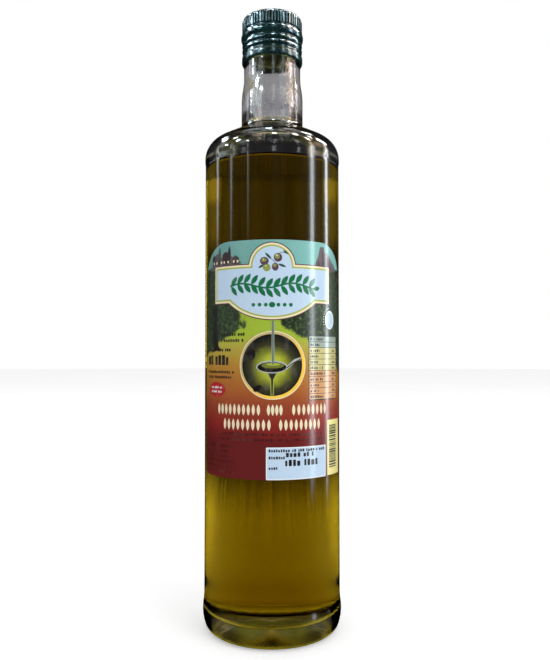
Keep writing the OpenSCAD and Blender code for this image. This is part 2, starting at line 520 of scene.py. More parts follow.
capShape = {
    "top": capHigh.z,
    "edge": 2.2,
    "knurlR": 15.95,
    "bandR": capHigh.x,
    "beadR": 15.9,
    "grooveR": 15.35,
    "knurlZ": capHigh.z - 7.4,
    "plainZ": capHigh.z - 13,
    "skirtZ": capLow.z,
    "gap": 0.4,            # height of each plain groove
    "inside": 14.75,
    "topThick": 1,
    "flutes": 62,
    "fluteDepth": 0.38,
    "sidesPerFlute": 8,
    "bead": 2.9,
    "beads": 2,
}
capColours = {
    "deep": tone(7, 27, 27),
    "mid": tone(13, 42, 42),
    # the next colour is painted shade for the knurl's grooves
    "groove": tone(3, 9, 10),
    # the next colour is real wear, and also a painted highlight on the knurl's crests
    "wearAndCrestShine": tone(84, 122, 132),
    "shine": (0.62, 0.9, 1.0, 1),
    "insideDeep": tone(150, 146, 118),
    "insidePale": tone(186, 182, 156),
}


def lacquerLook(look):
    place = look.objectPlace()
    x, y, z = look.split(place)
    wear = look.grain(place, 420, 5, 0.6)
    cloud = look.grain(place, 60, 3, 0.5)
    scuff = look.grain(place, 900, 2, 0.5, (1, 1, 6))
    base = look.blend(look.ease(cloud, 0.35, 0.7), capColours["deep"], capColours["mid"])
    wearAndCrestShine = look.ease(wear, 0.66, 0.78) * 0.5
    knurled = look.between(z, (capHigh.z - 7) * mm, (capHigh.z - 1.2) * mm, 0.0004)
    flute = look.sine(look.turn(y, x) * capShape["flutes"] + math.pi / 2)
    # painted shade: the recessed grooves between the knurl's flutes are darkened
    base = look.blend(look.ease(flute, -0.3, 0.5) * knurled, base, capColours["groove"])
    # painted highlight: the knurl's crests take the wear colour too, on top of the random wear
    wearAndCrestShine = look.most(wearAndCrestShine, look.ease(flute, -0.55, -0.95) * knurled * 0.7)
    colour = look.blend(wearAndCrestShine, base, capColours["wearAndCrestShine"])
    rough = 0.17 + look.ease(scuff, 0.45, 0.75) * 0.14
    normal = look.bump(cloud + wear * 0.3, 0.12, 0.0004)
    return {"Base Color": colour, "Roughness": rough, "Normal": normal}


def insideLook(look):
    cloud = look.grain(look.objectPlace(), 300, 3, 0.5)
    return {"Base Color": look.blend(cloud, capColours["insideDeep"], capColours["insidePale"])}


def capOutline(c):
    grooveR, gap, knurlZ, plainZ = c["grooveR"], c["gap"], c["knurlZ"], c["plainZ"]
    outline = [(0, c["top"])]
    outline += arc((c["knurlR"] - c["edge"], c["top"] - c["edge"]), c["edge"], 90, 0, 8)
    outline += [(c["knurlR"], knurlZ + 1.2), (c["knurlR"], knurlZ + 0.5), (grooveR, knurlZ)]
    outline += [(grooveR, knurlZ - gap)] + rib(grooveR, c["bandR"], knurlZ - gap, plainZ + gap, 0.5)
    outline += [(grooveR, plainZ + gap), (grooveR, plainZ)]
    for n in range(c["beads"]):
        top = plainZ - n * c["bead"]
        outline += rib(grooveR, c["beadR"], top, top - c["bead"], 1)
        outline.append((grooveR, top - c["bead"]))
    outline += [(grooveR, c["skirtZ"]), (c["inside"], c["skirtZ"])]
    outline += [(c["inside"], c["top"] - c["topThick"]), (0, c["top"] - c["topThick"])]
    return outline


def makeCap(c):
    sides = c["flutes"] * c["sidesPerFlute"]

    def shift(angle, r, z):
        below = z < c["knurlZ"] + c["gap"]
        within = r < c["knurlR"] - c["edge"] or (r < c["inside"] and z < c["top"] - c["edge"])
        if below or within:
            return 0
        share = min(1, (r - c["knurlR"] + c["edge"]) / c["edge"])
        flute = max(0, math.cos(angle * c["flutes"])) ** 1.5
        return -c["fluteDepth"] * share * flute

    lacquer = material("greenLacquer", lacquerLook, Coat_Weight=0.3, Coat_Roughness=0.05, Coat_IOR=1.6,
                       IOR=2.0, Specular_Tint=capColours["shine"])
    points, faces = lathe(refine(capOutline(c), 3), sides, shift)
    piece = meshPiece("screw_cap", points, faces, lacquer, "cap", 30)
    piece.data.materials.append(material("capInside", insideLook, Roughness=0.5, IOR=1.5))
    for face in piece.data.polygons:
        x, y, z = face.center / mm
        if math.hypot(x, y) < c["inside"] + 0.1 and z < c["top"] - c["topThick"] / 2:
            face.material_index = 1
    return lacquer


bandShape = {
    "r": bandHigh.x,
    "z": bandLow.z,
    "top": bandTop,
    "curl": 1.1,
    "corner": 0.4,
    "hole": 15.0,
    "bridges": 8,
    "bridgeW": 0.9,
    "bridgeR": capShape["grooveR"],
    "bridgeRoot": 0.2,     # how far the bridges reach into the band
    "sides": 192,
}


def makeBand(b, lacquer):
    corner = b["corner"]
    outline = [(b["hole"], b["z"])]
    outline += arc((b["r"] - b["curl"], b["z"] + b["curl"]), b["curl"], -80, 0, 8)
    outline += arc((b["r"] - corner, b["top"] - corner), corner, 0, 90, 5) + [(b["hole"], b["top"])]
    points, faces = lathe(refine(outline, 1.5), b["sides"], closed=True)
    foot = ((b["hole"], -1), (b["bridgeR"], -1), (b["bridgeR"], 1), (b["hole"], 1))
    for n in range(b["bridges"]):
        turn = math.radians((n + 0.5) * 360 / b["bridges"])
        first = len(points)
        for z in (b["top"] - b["bridgeRoot"], bandHigh.z):
            for r, side in foot:
                along = side * b["bridgeW"] / 2
                points.append((r * math.cos(turn) - along * math.sin(turn),
                               r * math.sin(turn) + along * math.cos(turn), z))
        faces += [[first + k for k in side] for side in
                  ((0, 1, 2, 3), (4, 7, 6, 5), (0, 4, 5, 1), (1, 5, 6, 2), (2, 6, 7, 3), (3, 7, 4, 0))]
    meshPiece("tamper_ring", points, faces, lacquer, "tamper_band", 30)


makeBand(bandShape, makeCap(capShape))
print("cap and tamper band made")


# the label's paper and print are laid out flat as (s, z) and wrapped onto the body
labelShape = {
    "r": -labelLow.y,
    "paper": 0.14,         # thickness
    "low": labelLow.z,
    "high": labelHigh.z,
    "turn": 2,
    "sweep": 144,
    "topCorner": 20,
    "lowCorner": 3,
    "strip": 1.4,          # width of the flat strips that make the bend
    "inkLift": 0.022,      # each level of ink stands this much higher
    "inkDepth": 0.05,      # and starts this far down in the paper
    "varnish": {"Coat_Weight": 0.8, "Coat_Roughness": 0.12, "IOR": 1.45},
}
labelHalf = labelShape["r"] * math.radians(labelShape["sweep"]) / 2
labelMid = labelShape["r"] * math.radians(labelShape["turn"])


def wrapSheet(outline, inner, outer, points, faces):  # a flat outline becomes a thin bent plate
    work = bmesh.new()
    corners = [work.verts.new((s, z, 0)) for s, z in outline]
    work.faces.new(corners)
    low = min(s for s, z in outline)
    high = max(s for s, z in outline)
    step = labelShape["strip"]
    cut = math.ceil(low / step + 0.01) * step
    while cut < high - 0.01:
        everything = work.verts[:] + work.edges[:] + work.faces[:]
        bmesh.ops.bisect_plane(work, geom=everything, plane_co=(cut, 0, 0), plane_no=(1, 0, 0), dist=1e-5)
        cut += step
    bmesh.ops.triangulate(work, faces=work.faces[:])
    work.verts.index_update()
    first = len(points)
    count = len(work.verts)
    for radius in (outer, inner):
        for v in work.verts:
            angle = v.co.x / labelShape["r"]
            points.append((radius * math.sin(angle), -radius * math.cos(angle), v.co.y))
    for face in work.faces:
        ring = [first + v.index for v in face.verts]
        faces.append(ring)
        faces.append([k + count for k in reversed(ring)])
    for edge in work.edges:
        if len(edge.link_faces) == 1:
            a, b = (first + v.index for v in edge.verts)
            faces.append([a, b, b + count, a + count])
    work.free()


def rounded(s0, z0, s1, z1, radius, steps=4):
    corners = ((s1 - radius, z0 + radius, -90), (s1 - radius, z1 - radius, 0),
               (s0 + radius, z1 - radius, 90), (s0 + radius, z0 + radius, 180))
    return [p for s, z, a in corners for p in arc((s, z), radius, a, a + 90, steps)]


def oval(s, z, halfS, halfZ, turn=0, steps=36):
    points = []
    c, n = math.cos(math.radians(turn)), math.sin(math.radians(turn))
    for i in range(steps):
        angle = 2 * math.pi * i / steps
        a, b = halfS * math.cos(angle), halfZ * math.sin(angle)
        points.append((s + a * c - b * n, z + a * n + b * c))
    return points


def leaf(s, z, tipS, tipZ, width, steps=8):  # pointed at both ends
    run = math.hypot(tipS - s, tipZ - z)
    along = ((tipS - s) / run, (tipZ - z) / run)
    points = []
    for side in (1, -1):
        for i in range(steps):
            share = i / steps if side == 1 else 1 - i / steps
            out = side * width / 2 * math.sin(math.pi * share) ** 0.8
            points.append((s + along[0] * run * share - along[1] * out,
                           z + along[1] * run * share + along[0] * out))
    return points


def stroke(path, width):  # a line of even width through a few points
    left, right = [], []
    for i, (s, z) in enumerate(path):
        before = path[max(0, i - 1)]
        after = path[min(len(path) - 1, i + 1)]
        run = math.hypot(after[0] - before[0], after[1] - before[1])
        across = (-(after[1] - before[1]) / run * width / 2, (after[0] - before[0]) / run * width / 2)
        left.append((s + across[0], z + across[1]))
        right.append((s - across[0], z - across[1]))
    return left + right[::-1]


def blocks(chance, s0, s1, z, tall, width, gap):  # a row of small blocks in place of words
    shapes = []
    s = s0
    while s < s1 - width * 0.6:
        w = min(width * chance.uniform(0.7, 1.3), s1 - s)
        drop = tall * chance.choice((0, 0, 0.12, 0.2))
        shapes.append(rounded(s, z - tall / 2, s + w, z + tall / 2 - drop, min(w, tall) * 0.18, 2))
        s += w + gap * (3.2 if chance.random() < 0.17 else 1)
    return shapes


plaqueShape = {
    "halfW": 32.8,
    "top": 183.1,
    "bottom": 164.2,
    "archR": 11.6,
    "archZ": 181.9,
    "footHalf": 22.6,
    "footZ": 156.0,
}


def plaque(inset):  # a wide panel with an arched top and a bellied foot
    p = plaqueShape
    halfW = p["halfW"] - inset
    top, bottom = p["top"] - inset, p["bottom"] + inset
    archR = p["archR"] - inset
    foot = p["footHalf"] - inset * 0.6
    footZ = p["footZ"] + inset
    rise = bottom - footZ
    belly = (foot * foot + rise * rise) / (2 * rise)
    sweep = math.degrees(math.asin(foot / belly))
    start = math.degrees(math.asin((top - p["archZ"]) / archR))
    outline = [(-halfW, bottom), (-foot, bottom)]
    outline += arc((0, footZ + belly), belly, -90 - sweep, -90 + sweep, 30)[1:-1]
    outline += [(foot, bottom), (halfW, bottom), (halfW, top)]
    outline += arc((0, p["archZ"]), archR, start, 180 - start, 30)
    outline += [(-halfW, top)]
    return outline


labelColours = {
    # painted shade: the sky's colour is darker on the left and lighter on the right, as the light falls
    # from the right
    "skyShadedLeft": tone(98, 152, 146),
    "skyLitRight": tone(122, 184, 178),
    "haze": tone(176, 214, 208),
    "leafDark": tone(24, 34, 24),
    "leafMid": tone(62, 84, 48),
    "leafLight": tone(150, 168, 92),
    "meadow": tone(158, 184, 44),
    "straw": tone(176, 164, 58),
    "gold": tone(178, 128, 38),
    "orange": tone(168, 92, 30),
    "brick": tone(150, 58, 28),
    "red": tone(138, 26, 18),
    "wine": tone(106, 16, 16),
}
scenery = {                # heights above the floor and distances from the middle, mm
    "groundLow": 98.0,
    "groundHigh": 158.0,
    "bushes": 138,
    "horizon": 172,
    "woodTop": 182.5,
    "leftWood": -15,
    "leftLean": 152,
    "rightWood": 4,
    "rightLean": 156,
}


def flatPlace(look, place):  # millimetres along the paper and above the floor
    x, y, z = look.split(place)
    return look.turn(x, y * -1) * labelShape["r"], z * (1 / mm)


def paperLook(look):
    k = labelColours
    g = scenery
    place = look.objectPlace()
    s, h = flatPlace(look, place)
    daub = look.grain(place, 170, 4, 0.6)
    leafy = look.grain(place, 640, 3, 0.7)
    wash = look.grain(place, 45, 3, 0.5)
    uneven = h + (wash - 0.5) * 9 + (daub - 0.5) * 3
    span = look.share(uneven, g["groundLow"], g["groundHigh"])
    ground = look.ramp(span, [
        (0.0, k["wine"]), (0.12, k["red"]), (0.27, k["brick"]), (0.42, k["orange"]),
        (0.6, k["gold"]), (0.76, k["straw"]), (0.86, k["meadow"]), (1.0, k["meadow"]),
    ])
    speck = look.ease(leafy, 0.52, 0.66)
    ground = look.blend(speck * look.ease(h, g["bushes"], g["bushes"] + 12) * 0.35, ground, k["leafLight"])
    # painted shade across the sky, darker towards the left
    sky = look.blend(look.ease(s, -40, 30), k["skyShadedLeft"], k["skyLitRight"])
    sky = look.blend(look.ease(wash, 0.4, 0.7) * 0.18, sky, k["haze"])
    picture = look.blend(look.ease(h, g["horizon"] - 1, g["horizon"] + 1), ground, sky)

    # two woods with ragged edges, each narrower towards its foot
    ragged = (daub - 0.5) * 13 + (leafy - 0.5) * 5
    leftReach = g["leftWood"] - s + look.least(0, h - g["leftLean"]) * 2.2
    rightReach = look.least(s - g["rightWood"], (h + s * 0.55 - g["rightLean"]) * 1.3)
    under = 1 - look.ease(h + ragged * 0.1, g["woodTop"] - 1, g["woodTop"] + 1)
    wood = look.ease(ragged + look.most(leftReach, rightReach), -1.5, 1.5) * under
    leaves = look.blend(look.ease(leafy, 0.42, 0.62), k["leafDark"], k["leafMid"])
    leaves = look.blend(look.ease(leafy, 0.62, 0.74) * look.ease(h, 176, 150), leaves, k["leafLight"])
    picture = look.blend(wood, picture, leaves)

    fibre = look.grain(place, 1500, 3, 0.6)
    picture = look.tint(picture, look.ramp(fibre, [(0.3, (0.9, 0.9, 0.9)), (0.7, (1, 1, 1))]))
    rough = 0.36 + (fibre - 0.5) * 0.12
    return {"Base Color": picture, "Roughness": rough, "Normal": look.bump(fibre + wash * 2, 0.15, 0.0002)}


def labelOutline(p):
    s0, s1 = labelMid - labelHalf, labelMid + labelHalf
    big, small = p["topCorner"], p["lowCorner"]
    outline = arc((s1 - small, p["low"] + small), small, -90, 0, 6)
    outline += arc((s1 - big, p["high"] - big), big, 0, 90, 20)
    outline += arc((s0 + big, p["high"] - big), big, 90, 180, 20)
    outline += arc((s0 + small, p["low"] + small), small, 180, 270, 6)
    return outline


def makePaper(p):
    points, faces = [], []
    wrapSheet(labelOutline(p), p["r"] - p["paper"], p["r"], points, faces)
    paper = material("labelPaper", paperLook, **p["varnish"])
    meshPiece("label_paper", points, faces, paper, "label", 40)


inks = {
    "plum": tone(84, 40, 48),
    "cream": tone(238, 226, 190),
    "lime": tone(168, 180, 70),
    "mist": tone(190, 214, 236),
    "leafGreen": tone(0, 112, 66),
    "darkLeaf": tone(38, 70, 66),
    "olivePurple": tone(92, 62, 84),
    "oliveGreen": tone(140, 152, 70),
    "black": tone(26, 22, 22),
    "goldRim": tone(226, 184, 70),
    "deepGlow": tone(44, 42, 36),
    "lens": tone(150, 160, 52),
    "glow": tone(112, 124, 30),
    "silver": tone(178, 184, 180),
    "stone": tone(98, 84, 86),
    "umber": tone(52, 38, 42),
    "celadon": tone(158, 172, 160),
    "straw": tone(202, 194, 128),
    "peach": tone(214, 160, 108),
    "badgeRed": tone(176, 26, 30),
    "white": tone(232, 240, 244),
    "yolk": tone(240, 232, 150),
    "shade": tone(74, 14, 14),
}
lens = {                   # the round picture
    "place": (0.05, 134.75),
    "r": 14.1,
    "glowZ": 133.6,
    "glowR": 14,
    "stops": [(0.0, tone(200, 204, 70)), (0.36, tone(172, 180, 44)), (0.56, tone(122, 130, 30)),
              (0.76, tone(62, 62, 30)), (1.0, tone(28, 28, 24))],
    "rimTurn": (-148, -122),
    "rimDull": tone(196, 176, 120),
    "rimBright": tone(250, 204, 70),
}


def hillTown(put):
    put("stone", 1, [(-37.5, 181), (-16, 181), (-15.5, 184.3), (-18, 186), (-21, 187.4), (-26, 187.6),
                     (-31, 186.8), (-35, 184.6)])
    for s, w, top in ((-33.5, 1.6, 187.6), (-31, 2.2, 188.3), (-24.6, 2.2, 188.6), (-18.6, 2, 186.4)):
        put("umber", 2, [(s - w, 183.6), (s + w, 183.6), (s + w, top), (s, top + 1.3), (s - w, top)])
    for s in (-29.2, -22.4):
        put("umber", 3, leaf(s, 183.5, s + 0.2, 192.6, 1.9))
    for s in (-34, -31.6, -28, -26, -23.4, -20, -17.8):
        put("cream", 4, rounded(s, 184.1, s + 0.9, 185.3, 0.1, 1))


def crag(put):
    put("stone", 1, [(21.4, 181), (39, 181), (38.8, 183.6), (36, 185.4), (33.2, 188.4), (30.6, 190.2),
                     (29.2, 189.4), (28.4, 192.6), (25.6, 192.2), (24.6, 188), (23, 185)])
    put("umber", 2, [(26.4, 182), (29, 182), (28.2, 188), (27.6, 191.4)],
        [(30.4, 182), (35, 182), (33.4, 185.6), (31.4, 188.4)], [(23.6, 182), (25.4, 182), (25, 186.6)])


def panel(put):
    for name, level, inset in (("plum", 5, 0), ("cream", 6, 0.45), ("lime", 7, 1.35), ("mist", 8, 2.1)):
        put(name, level, plaque(inset))


def olives(put):  # a fruiting sprig at the head of the panel
    put("darkLeaf", 9, stroke([(-0.4, 185.4), (1.6, 183.4), (2.6, 181.6)], 0.25),
        stroke([(2.9, 187.6), (4.6, 188.6), (6.8, 188.2)], 0.25),
        leaf(-3.4, 188.3, -0.2, 185.1, 1.1), leaf(2.8, 182.9, 6.7, 181.5, 1.2),
        leaf(-6.6, 181.0, -3.6, 182.6, 1.1), leaf(5.2, 189.4, 7.9, 187.6, 0.9))
    put("olivePurple", 10, oval(-3.7, 184.3, 2.1, 1.9), oval(2.8, 186.0, 2.0, 2.1),
        oval(1.5, 181.5, 1.6, 1.9))
    put("oliveGreen", 10, oval(-2.6, 181.2, 1.8, 1.9, 20))
    put("oliveGreen", 11, oval(-3.9, 184.7, 1.3, 0.8, 10), oval(2.5, 186.5, 1.2, 1.2),
        oval(1.3, 182.2, 0.8, 0.8))
    put("cream", 12, oval(-4.2, 185.1, 0.35, 0.3), oval(2.2, 187.0, 0.4, 0.35),
        oval(-3.0, 182.0, 0.4, 0.35))


def branch(put):  # a long olive branch where a name would stand
    stem = [(-21.5 + i * 3.6, 172.6 + 1.2 * math.sin(i * 0.9)) for i in range(13)]
    put("leafGreen", 9, stroke(stem, 0.9))
    for s, z in stem[:-1]:
        for side in (1, -1):
            put("leafGreen", 9, leaf(s + 0.6, z, s + 3.9, z + side * 4.6, 2.3))
    endS, endZ = stem[-1]
    put("leafGreen", 9, leaf(endS - 0.5, endZ, endS + 3.4, endZ + 0.6, 2.2))
    put("leafGreen", 9, oval(0, 163.4, 1.5, 1.3))
    for s in (-9, -6, -3, 3, 6, 9):
        put("leafGreen", 9, oval(s, 163.4, 0.9, 0.9))


def trunk(put):
    put("black", 2, [(-36.5, 140.5), (-34.6, 143), (-34.4, 157), (-36, 163), (-30.5, 163), (-30.9, 157),
                     (-29.8, 144), (-27.4, 141.2), (-31, 141.6)])


def roundPicture(put):  # a spoon with oil running off it
    put("cream", 4, oval(0.3, 134.6, 16.3, 16.3, 0, 72))
    put("goldRim", 5, oval(0.3, 134.6, 15.9, 15.9, 0, 72))
    put("black", 6, oval(*lens["place"], 14.7, 14.7, 0, 72))
    put("lens", 7, oval(*lens["place"], lens["r"], lens["r"], 0, 72))
    put("silver", 11, oval(-0.1, 133.8, 7.5, 3.0))
    put("black", 12, oval(-0.1, 133.7, 6.9, 2.45))
    put("glow", 13, oval(0.3, 134.5, 5.4, 1.4))
    put("lime", 14, oval(0.6, 135.0, 3.2, 0.6))
    put("black", 8, oval(-10.2, 139.8, 2.2, 2.6), oval(-7.0, 123.6, 2.2, 1.4, 30))
    put("silver", 12, [(5.4, 133.0), (7.6, 134.8), (10.6, 137.4), (14.0, 138.5), (14.0, 137.2),
                       (11, 136.0), (8.4, 133.6), (6.4, 132.2)])
    put("black", 13, stroke([(7.0, 133.4), (9.4, 135.2), (13.8, 137.6)], 0.45))
    put("lime", 11, funnel(3.2, 0.9, 0.7, 131.0, 128.0, 120.4))
    put("deepGlow", 12, funnel(2.0, 0.45, 0.35, 130.8, 127.8, 120.6))
    put("celadon", 14, stroke([(0.4, 155.6), (0.4, 135.2)], 1.25))
    put("darkLeaf", 15, stroke([(0.4, 155.6), (0.4, 135.0)], 0.5))


def funnel(wide, neck, foot, top, middle, bottom):
    right = [(wide, top), (neck, middle), (foot, bottom)]
    return [(-wide, top)] + right + [(-foot, bottom), (-neck, middle)]


def leftColumn(put, chance):  # rows of small blocks and a badge
    for s0, s1, z, tall in ((-28, -13.4, 149.4, 1.5), (-28, -14, 146.5, 1.5), (-39.6, -21.4, 142.0, 1.6),
                            (-39.6, -18.6, 131.2, 1.3), (-39.6, -21, 128.7, 1.3)):
        put("black", 3, *blocks(chance, s0, s1, z, tall, 0.8, 0.42))
    put("black", 3, *blocks(chance, -39.4, -22.6, 137, 4.8, 1.9, 0.7))
    put("badgeRed", 3, oval(-31.2, 122.6, 6.6, 3.6))
    for z in (123.7, 121.6):
        put("white", 4, *blocks(chance, -35.6, -27, z, 1.1, 0.7, 0.35))


def title(put):  # two rows of upright leaves where a title would stand
    for s0, s1, z, count in ((-30.2, -5.3, 110.8, 10), (-2.7, 5.2, 110.8, 4), (9.1, 30.1, 110.8, 8),
                             (-26.1, -0.2, 103.7, 10), (2.8, 25.7, 103.7, 9)):
        pitch = (s1 - s0) / count
        for n in range(count):
            s = s0 + (n + 0.5) * pitch
            put("cream", 3, leaf(s, z - 0.1, s, z + 5.3, 1.6))


def smallRows(put, chance):
    for z in (101.7, 99.2):
        put("shade", 2, *blocks(chance, -27.5, 27.5, z, 1.3, 0.9, 0.45))
    for z in (95.6, 93.2, 90.6, 88.2, 85.6, 83.2):
        put("shade", 2, *blocks(chance, -39.2, chance.uniform(-22, -13), z, 1.2, 0.9, 0.5))


def table(put, chance):
    rows = 11
    pitch = 30.6 / rows
    put("deepGlow", 3, rounded(18.4, 117.6, 40.2, 148.9, 0.4))
    for n in range(rows):
        top = 148.5 - n * pitch
        ink = "celadon" if n < 2 else "straw" if n < 6 else "peach"
        put(ink, 4, rounded(18.8, top - pitch + 0.28, 39.8, top, 0.1, 1))
        put("black", 5, *blocks(chance, 19.4, chance.uniform(25, 31), top - 1.35, 1.2, 0.7, 0.35))
        if n > 1:
            put("black", 5, *blocks(chance, 35.2, 38.4, top - 1.35, 1.2, 0.8, 0.4))


def seal(put):
    s, z = 33.2, 156.8
    put("white", 3, oval(s, z, 4.0, 4.6))
    put("mist", 4, oval(s - 0.2, z - 0.2, 3.2, 3.8))
    for n in range(9):
        angle = math.radians(100 + n * 13)
        put("white", 3, oval(s + 5.2 * math.cos(angle), z + 5.8 * math.sin(angle), 0.3, 0.3, 0, 8))


def datePanel(put, chance):
    put("white", 3, rounded(-2.9, 80.5, 29.4, 95.8, 0.5))
    put("mist", 4, rounded(-2.3, 81.0, 28.9, 95.3, 0.3))
    for s0, s1, z, tall, w in ((-1.6, 28.2, 94.2, 1.3, 0.8), (-1.6, 6, 90.9, 1.3, 0.8),
                               (-1.6, 2.6, 86.0, 1.3, 0.8), (6.6, 22.6, 92.2, 2.1, 1.2),
                               (6.2, 24.2, 88.4, 3.0, 1.5)):
        put("black", 5, *blocks(chance, s0, s1, z, tall, w, w * 0.45))


def barPanel(put, chance):
    left, right, z, top = 32.4, 39.6, 84.2, 105.4
    put("yolk", 3, rounded(30.9, 80.6, 43.4, 107.6, 0.5))
    while z < top:
        tall = chance.choice((0.3, 0.3, 0.55, 0.8))
        put("black", 4, [(left, z), (right, z), (right, z + tall), (left, z + tall)])
        z += tall + chance.choice((0.25, 0.3, 0.5))


def printShapes():  # ink name, level above the paper, flat outline
    chance = random.Random(7)
    shapes = []

    def put(name, level, *outlines):
        for outline in outlines:
            shapes.append((name, level, outline))

    for part in (hillTown, crag, panel, olives, branch, trunk, roundPicture):
        part(put)
    leftColumn(put, chance)
    title(put)
    smallRows(put, chance)
    table(put, chance)
    seal(put)
    datePanel(put, chance)
    barPanel(put, chance)
    return shapes


def inkLook(name, colour):
    def build(look):
        place = look.objectPlace()
        fibre = look.grain(place, 1500, 3, 0.6)
        wash = look.grain(place, 200, 3, 0.5)
        shade = look.ramp(fibre, [(0.3, (0.88, 0.88, 0.88)), (0.7, (1, 1, 1))])
        s, h = flatPlace(look, place)
        paint = colour
        if name == "lens":  # a warm glow that dies away towards the rim
            across = s - lens["place"][0]
            reach = (across ** 2 + (h - lens["glowZ"]) ** 2) ** 0.5 + (wash - 0.5) * 5
            paint = look.ramp(reach * (1 / lens["glowR"]), lens["stops"])
        elif name == "goldRim":  # lit from the lower right
            paint = look.blend(look.ease(s - h, *lens["rimTurn"]), lens["rimDull"], lens["rimBright"])
        paint = look.tint(paint, shade)
        paint = look.blend(look.ease(wash, 0.5, 0.75) * 0.05, paint, tone(255, 250, 240))
        return {"Base Color": paint, "Roughness": 0.34 + (fibre - 0.5) * 0.12}
    return build


def makePrint(p):
    shapes = printShapes()
    for name, colour in inks.items():
        points, faces = [], []
        for ink, level, outline in shapes:
            if ink == name:
                wrapSheet(outline, p["r"] - p["inkDepth"], p["r"] + p["inkLift"] * level, points, faces)
        finish = material("ink_" + name, inkLook(name, colour), **p["varnish"])
        meshPiece("print_" + name, points, faces, finish, "label", 40)


makePaper(labelShape)
makePrint(labelShape)
print("label made")


studio = {
    "ambient": 0.60,       # what matt surfaces receive from all round
    "floorR": 7.0,         # metres
    "floorGlow": 0.38,
    "glowUnderGlass": [        # painted glow of the sheet seen through the glass in place of the lit floor, by distance in metres
        (0.0, (0.4, 0.3, 0.03)), (0.05, (0.75, 0.64, 0.08)), (0.12, (1.0, 0.96, 0.25)),
        (0.26, (1.05, 1.05, 0.3)), (0.44, (0.34, 0.34, 0.1)), (0.6, (0.2, 0.2, 0.06)),
        (1.0, (0.16, 0.16, 0.05)),
    ],
    "rays": 2.4,           # strength of the fine rays in it
    "sideBoost": 1.8,      # how much brighter it is to the left and right
    "shadeCollar": [(28, 274), (74, 261)],        # edges of the card of painted shade: distance from the axis and height, mm
    "dark": 0.01,
    "farSide": (96, 140),  # azimuths between which the far side comes in
    "beyond": [            # colour on the far side, by share of the span of elevation below
        (0.0, (0.2, 0.15, 0.015)), (0.3, (0.16, 0.12, 0.012)), (0.33, (0.2, 0.2, 0.05)),
        (0.4, (0.2, 0.2, 0.05)), (0.425, (0.025, 0.025, 0.025)), (0.45, (0.025, 0.025, 0.025)),
        (0.465, (0.27, 0.25, 0.28)), (0.56, (0.33, 0.31, 0.34)), (0.6, (0.2, 0.145, 0.02)),
        (0.68, (0.3, 0.22, 0.02)), (0.73, (0.03, 0.03, 0.03)), (1.0, (0.02, 0.02, 0.02)),
    ],
    "beyondSpan": (-10.0, 50.0),
    "flankColour": (1.0, 0.95, 0.25),
    "flankSide": (112, 142),
    "flanks": [            # lowest and highest elevation, softness, strength
        (12.4, 14.8, 0.6, 1.0),
        (9, 12.4, 1, 0.3),
    ],
    "ceiling": 1.0,
    "ceilingSpan": (62, 74),
    "floorEdge": (-14, -10),
    "white": (1.0, 0.97, 0.98, 1),
    "coolWhite": (0.84, 0.93, 1.0, 1),
    "warmWhite": (1.0, 0.72, 0.58, 1),
    "warmSide": (84, 22),  # azimuth and width
    "warmFrom": (16, 19),
    "strips": [            # azimuth from the camera's side, width, lowest and highest elevation, strength
        (71, 3.8, -8, 30, 9.5),
        (105, 3.4, -8, 30, 9.5),
        (-41, 1.3, 12, 26, 1.8),
        (-73, 1.8, 11, 26, 3.0),
        (-106, 2.2, 10, 26, 3.4),
        (-52, 6.0, 20.5, 34, 2.0),
        (-96, 7.0, 20.5, 34, 2.4),
        (5, 2.6, 21, 34, 3.4),
        (44, 3.0, 21, 34, 4.2),
        (88, 8.0, 20.5, 34, 2.6),
    ],
    "lamps": [             # azimuth, elevation, width, height, strength
        (180, 35.45, 1.0, 0.16, 60), (178.6, 35.05, 0.6, 0.1, 50), (-175, 76, 16, 5, 60), (7, 66, 6, 5, 90),
        (64, 61, 5, 5, 90), (118, 58, 5, 5, 90), (75, 43, 4.5, 5, 90), (107, 41, 5, 5, 90),
        (114, 34, 4, 4.5, 80), (92, 50, 3.6, 4, 80), (-106, 40, 5, 5, 90), (-65, 36, 4, 4.6, 90),
        (-86, 24, 3.2, 3, 80), (-80, 46, 3.6, 4, 80), (-122, 44, 3.6, 4, 80), (-44, 30, 2.6, 3.4, 70),
    ],
    "softBoxes": [         # place and size in metres, power
        ("softRight", (1.0, -0.9, 0.7), 0.9, 7),
        ("softTop", (0.0, 0.0, 2.4), 3.0, 14),
    ],
    "aim": (0, 0, 0.15),
}


def hide(thing, *rays):  # these kinds of ray pass straight by
    for ray in rays:
        setattr(thing, "visible_" + ray, False)


def floorLook(look):
    cloud = look.grain(look.objectPlace(), 3, 3, 0.5)
    return {"Base Color": look.ramp(cloud, [(0.3, tone(240, 240, 240)), (0.7, tone(246, 246, 246))])}


def glowUnderGlassLook(look):  # a painted glow in place of the lit floor: bright close to the bottle, darker further off, in fine rays
    x, y = look.split(look.objectPlace())[:2]
    reach = (x * x + y * y) ** 0.5
    around = look.turn(x, y)
    fine = look.streaks(around * 30, 3.0, 0.7)
    side = look.ease(look.size(x) / reach, 0.45, 0.95)
    span = look.share(reach, 0.0, 1.0)
    rays = 1 + (fine - 0.5) * look.ease(reach, 0.12, 0.4) * studio["rays"]
    colour = look.scaled(look.ramp(span, studio["glowUnderGlass"]), rays * (1 + side * studio["sideBoost"]))
    return {"Emission Color": colour}


def cardLook(look):
    cloud = look.grain(look.objectPlace(), 40, 2, 0.5)
    return {"Base Color": look.blend(cloud, tone(30, 28, 30), tone(50, 46, 50))}


def makeFloor(name, lift, finish, *hidden):
    work = bmesh.new()
    bmesh.ops.create_circle(work, cap_ends=True, radius=studio["floorR"], segments=96)
    mesh = bpy.data.meshes.new(name)
    work.to_mesh(mesh)
    work.free()
    floor = addMesh(name, mesh, finish)
    floor.location.z = lift
    hide(floor, "glossy", *hidden)


